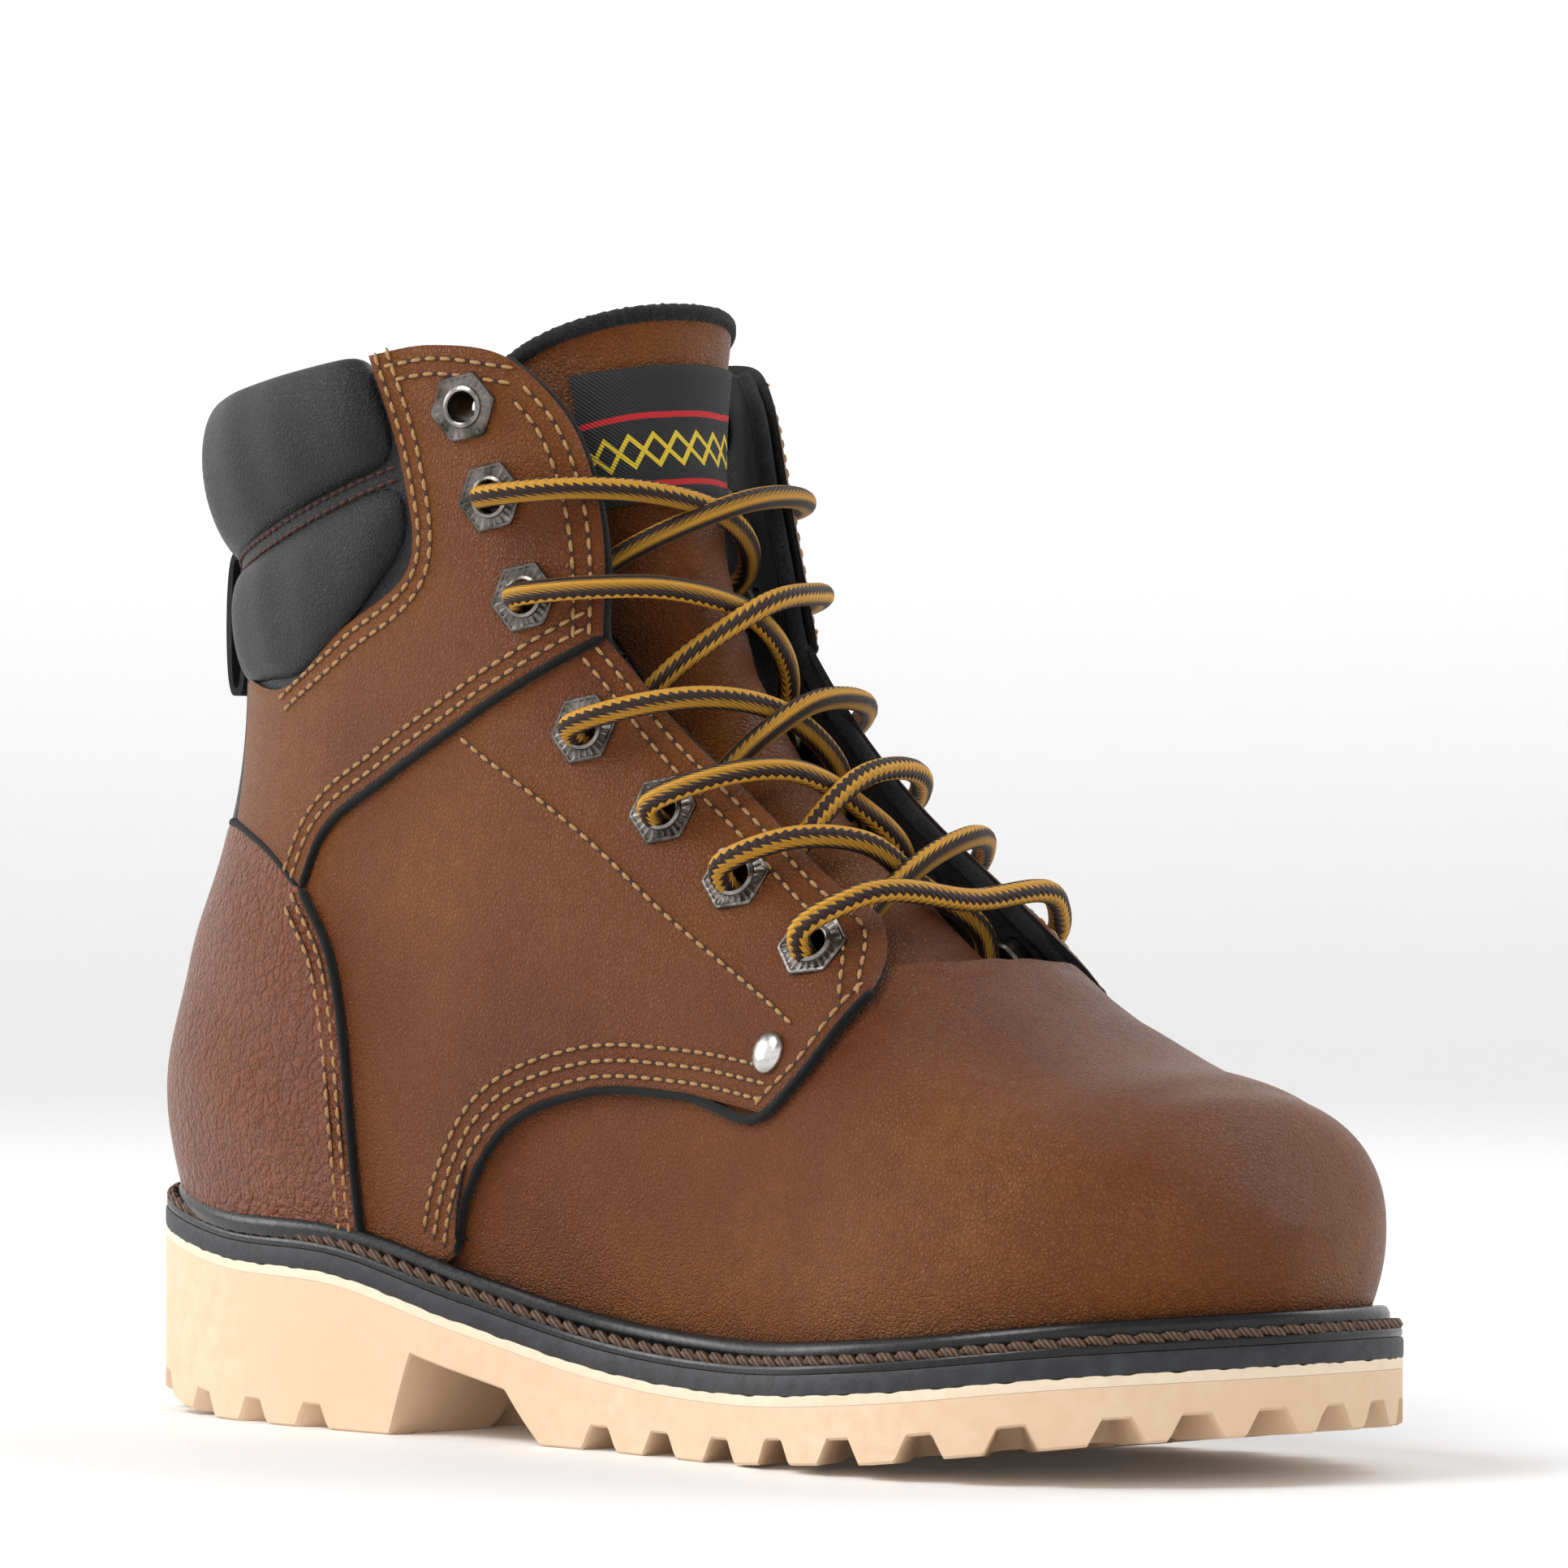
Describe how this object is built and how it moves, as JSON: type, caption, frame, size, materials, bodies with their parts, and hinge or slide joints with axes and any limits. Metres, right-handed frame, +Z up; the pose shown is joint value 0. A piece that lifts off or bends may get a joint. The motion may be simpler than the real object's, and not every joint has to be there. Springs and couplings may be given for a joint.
{
  "type": "steel toe work boot",
  "caption": "Lace-up ankle work boot with a steel toe cap, padded black collar, brown leather upper, storm welt and lugged sole.",
  "frame": {"origin": "the middle of the boot's length and width, on the ground under the tread", "axes": "+X towards the toe, +Y towards the inner (medial) side, +Z up"},
  "size_m": [0.3058, 0.1089, 0.2253],
  "materials": {
    "cream_rubber": "matte moulded rubber",
    "pale_rubber": "matte moulded rubber",
    "black_rubber": "matte buffed edge",
    "welt_black": "glossy moulded bead",
    "cork": "granulated cork",
    "board": "pressed fibre board",
    "spring_steel": "plain pressed steel",
    "brown_leather": "mottled full-grain leather",
    "black_leather": "smooth soft leather",
    "black_textile": "matte woven and felted textile",
    "footbed_foam": "fabric-topped foam",
    "antique_metal": "antique dark silver",
    "bright_metal": "polished silver",
    "lace_cord": "round braided cord with zigzag stripes",
    "aglet_plastic": "clear brown tip"
  },
  "bodies": {
    "boot": {"outsole": "cream_rubber", "outsole_strip": "pale_rubber", "midsole": "black_rubber", "welt": "welt_black", "filler": "cork", "shank": "spring_steel", "insole_board": "board", "quarter_lateral": "brown_leather", "shaft_panel_lateral": "brown_leather", "quarter_lining_lateral": "black_textile", "quarter_medial": "brown_leather", "shaft_panel_medial": "brown_leather", "quarter_lining_medial": "black_textile", "counter_pocket": "brown_leather", "heel_stiffener": "board", "heel_lining": "black_textile", "backstay": "black_leather", "collar_pad_upper": "black_leather", "collar_pad_lower": "black_leather", "pull_loop": "black_textile", "vamp": "brown_leather", "steel_toe_cap": "spring_steel", "vamp_lining": "black_textile", "eyelet_lateral_1": "antique_metal", "eyelet_lateral_2": "antique_metal", "eyelet_lateral_3": "antique_metal", "eyelet_lateral_4": "antique_metal", "eyelet_lateral_5": "antique_metal", "eyelet_lateral_6": "antique_metal", "eyelet_lateral_7": "antique_metal", "rivet_lateral": "bright_metal", "eyelet_medial_1": "antique_metal", "eyelet_medial_2": "antique_metal", "eyelet_medial_3": "antique_metal", "eyelet_medial_4": "antique_metal", "eyelet_medial_5": "antique_metal", "eyelet_medial_6": "antique_metal", "eyelet_medial_7": "antique_metal", "rivet_medial": "bright_metal", "lace": "lace_cord", "aglet_a": "aglet_plastic", "aglet_b": "aglet_plastic"},
    "tongue": {"tongue": "brown_leather", "tongue_lining": "black_textile", "tongue_label": "black_textile"},
    "footbed": {"footbed": "footbed_foam"}
  },
  "joints": [
    {"name": "tongue_swing", "type": "hinge", "parent": "boot", "child": "tongue", "pos_m": [0.071, 0, 0.086], "axis": [0, 1, 0], "range_deg": [-12, 0]},
    {"name": "footbed_lift", "type": "hinge", "parent": "boot", "child": "footbed", "pos_m": [0.138, 0, 0.028], "axis": [0, 1, 0], "range_deg": [0, 12]}
  ]
}
